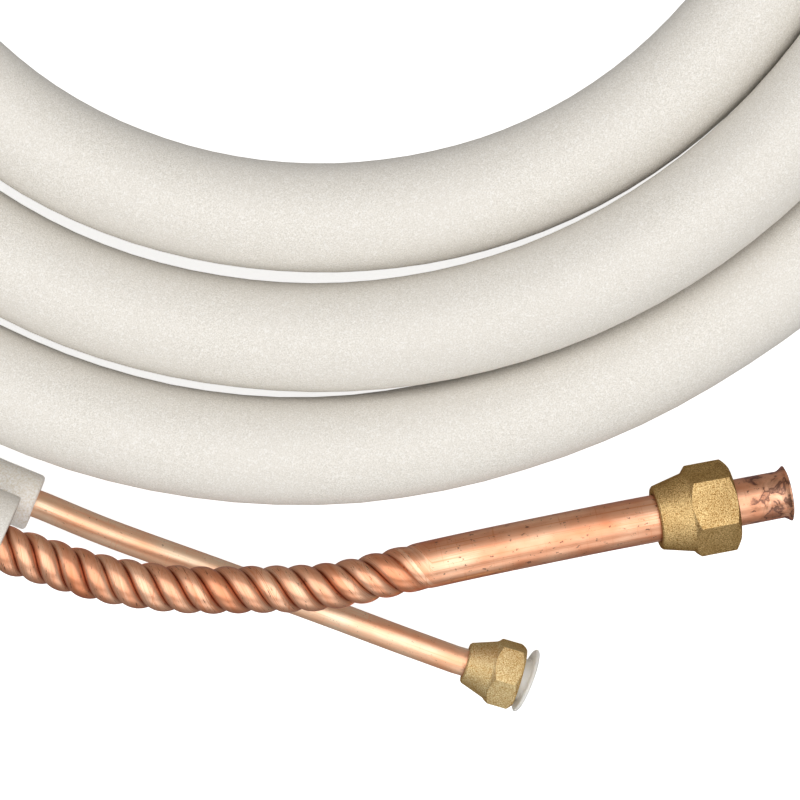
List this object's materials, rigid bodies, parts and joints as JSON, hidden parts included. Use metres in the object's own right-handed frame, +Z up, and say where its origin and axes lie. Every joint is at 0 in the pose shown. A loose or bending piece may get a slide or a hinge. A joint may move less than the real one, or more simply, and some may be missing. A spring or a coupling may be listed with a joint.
{
  "type": "air conditioner line set",
  "caption": "Coiled pair of foam-insulated copper refrigerant lines lying flat, with corrugated and smooth bare ends, brass flare nuts and milky plugs.",
  "frame": {"origin": "centre of the bounding box, on the floor that the coil lies on", "axes": "+Z up from the floor; the coil's axis is parallel to Z; the bare near ends lie at -Y and point towards +X"},
  "size_m": [0.5742, 0.6278, 0.071],
  "materials": {
    "white_foam": "satin closed-cell polyethylene foam, warm off-white",
    "grey_foam": "coarse closed-cell polyethylene foam, warm grey",
    "copper": "drawn copper, lightly scratched and tarnished",
    "brass": "forged brass with a blasted grain",
    "milky_plastic": "soft milky polyethylene"
  },
  "bodies": {
    "lines": {"suction_insulation": "white_foam", "liquid_insulation": "grey_foam", "suction_tube": "copper", "liquid_tube": "copper"},
    "loose_nut": {"suction_nut": "brass"},
    "liquid_end": {"liquid_nut": "brass", "liquid_plug": "milky_plastic"},
    "far_suction_end": {"far_suction_nut": "brass", "far_suction_plug": "milky_plastic"},
    "far_liquid_end": {"far_liquid_nut": "brass", "far_liquid_plug": "milky_plastic"}
  },
  "joints": [
    {"name": "loose_nut_slide", "type": "slide", "parent": "lines", "child": "loose_nut", "axis": [0.98, 0.166, -0.1101], "range_m": [-0.013, 0.027]},
    {"name": "liquid_nut_turn", "type": "hinge", "parent": "lines", "child": "liquid_end", "pos_m": [0.0874, -0.30217, 0.0124], "axis": [0.959, -0.2833, 0], "continuous": true},
    {"name": "far_suction_nut_turn", "type": "hinge", "parent": "lines", "child": "far_suction_end", "pos_m": [-0.01898, 0.16508, 0.0419], "axis": [0.8542, 0.5199, 0], "continuous": true},
    {"name": "far_liquid_nut_turn", "type": "hinge", "parent": "lines", "child": "far_liquid_end", "pos_m": [-0.02489, 0.16148, 0.0124], "axis": [0.8542, 0.5199, 0], "continuous": true}
  ]
}
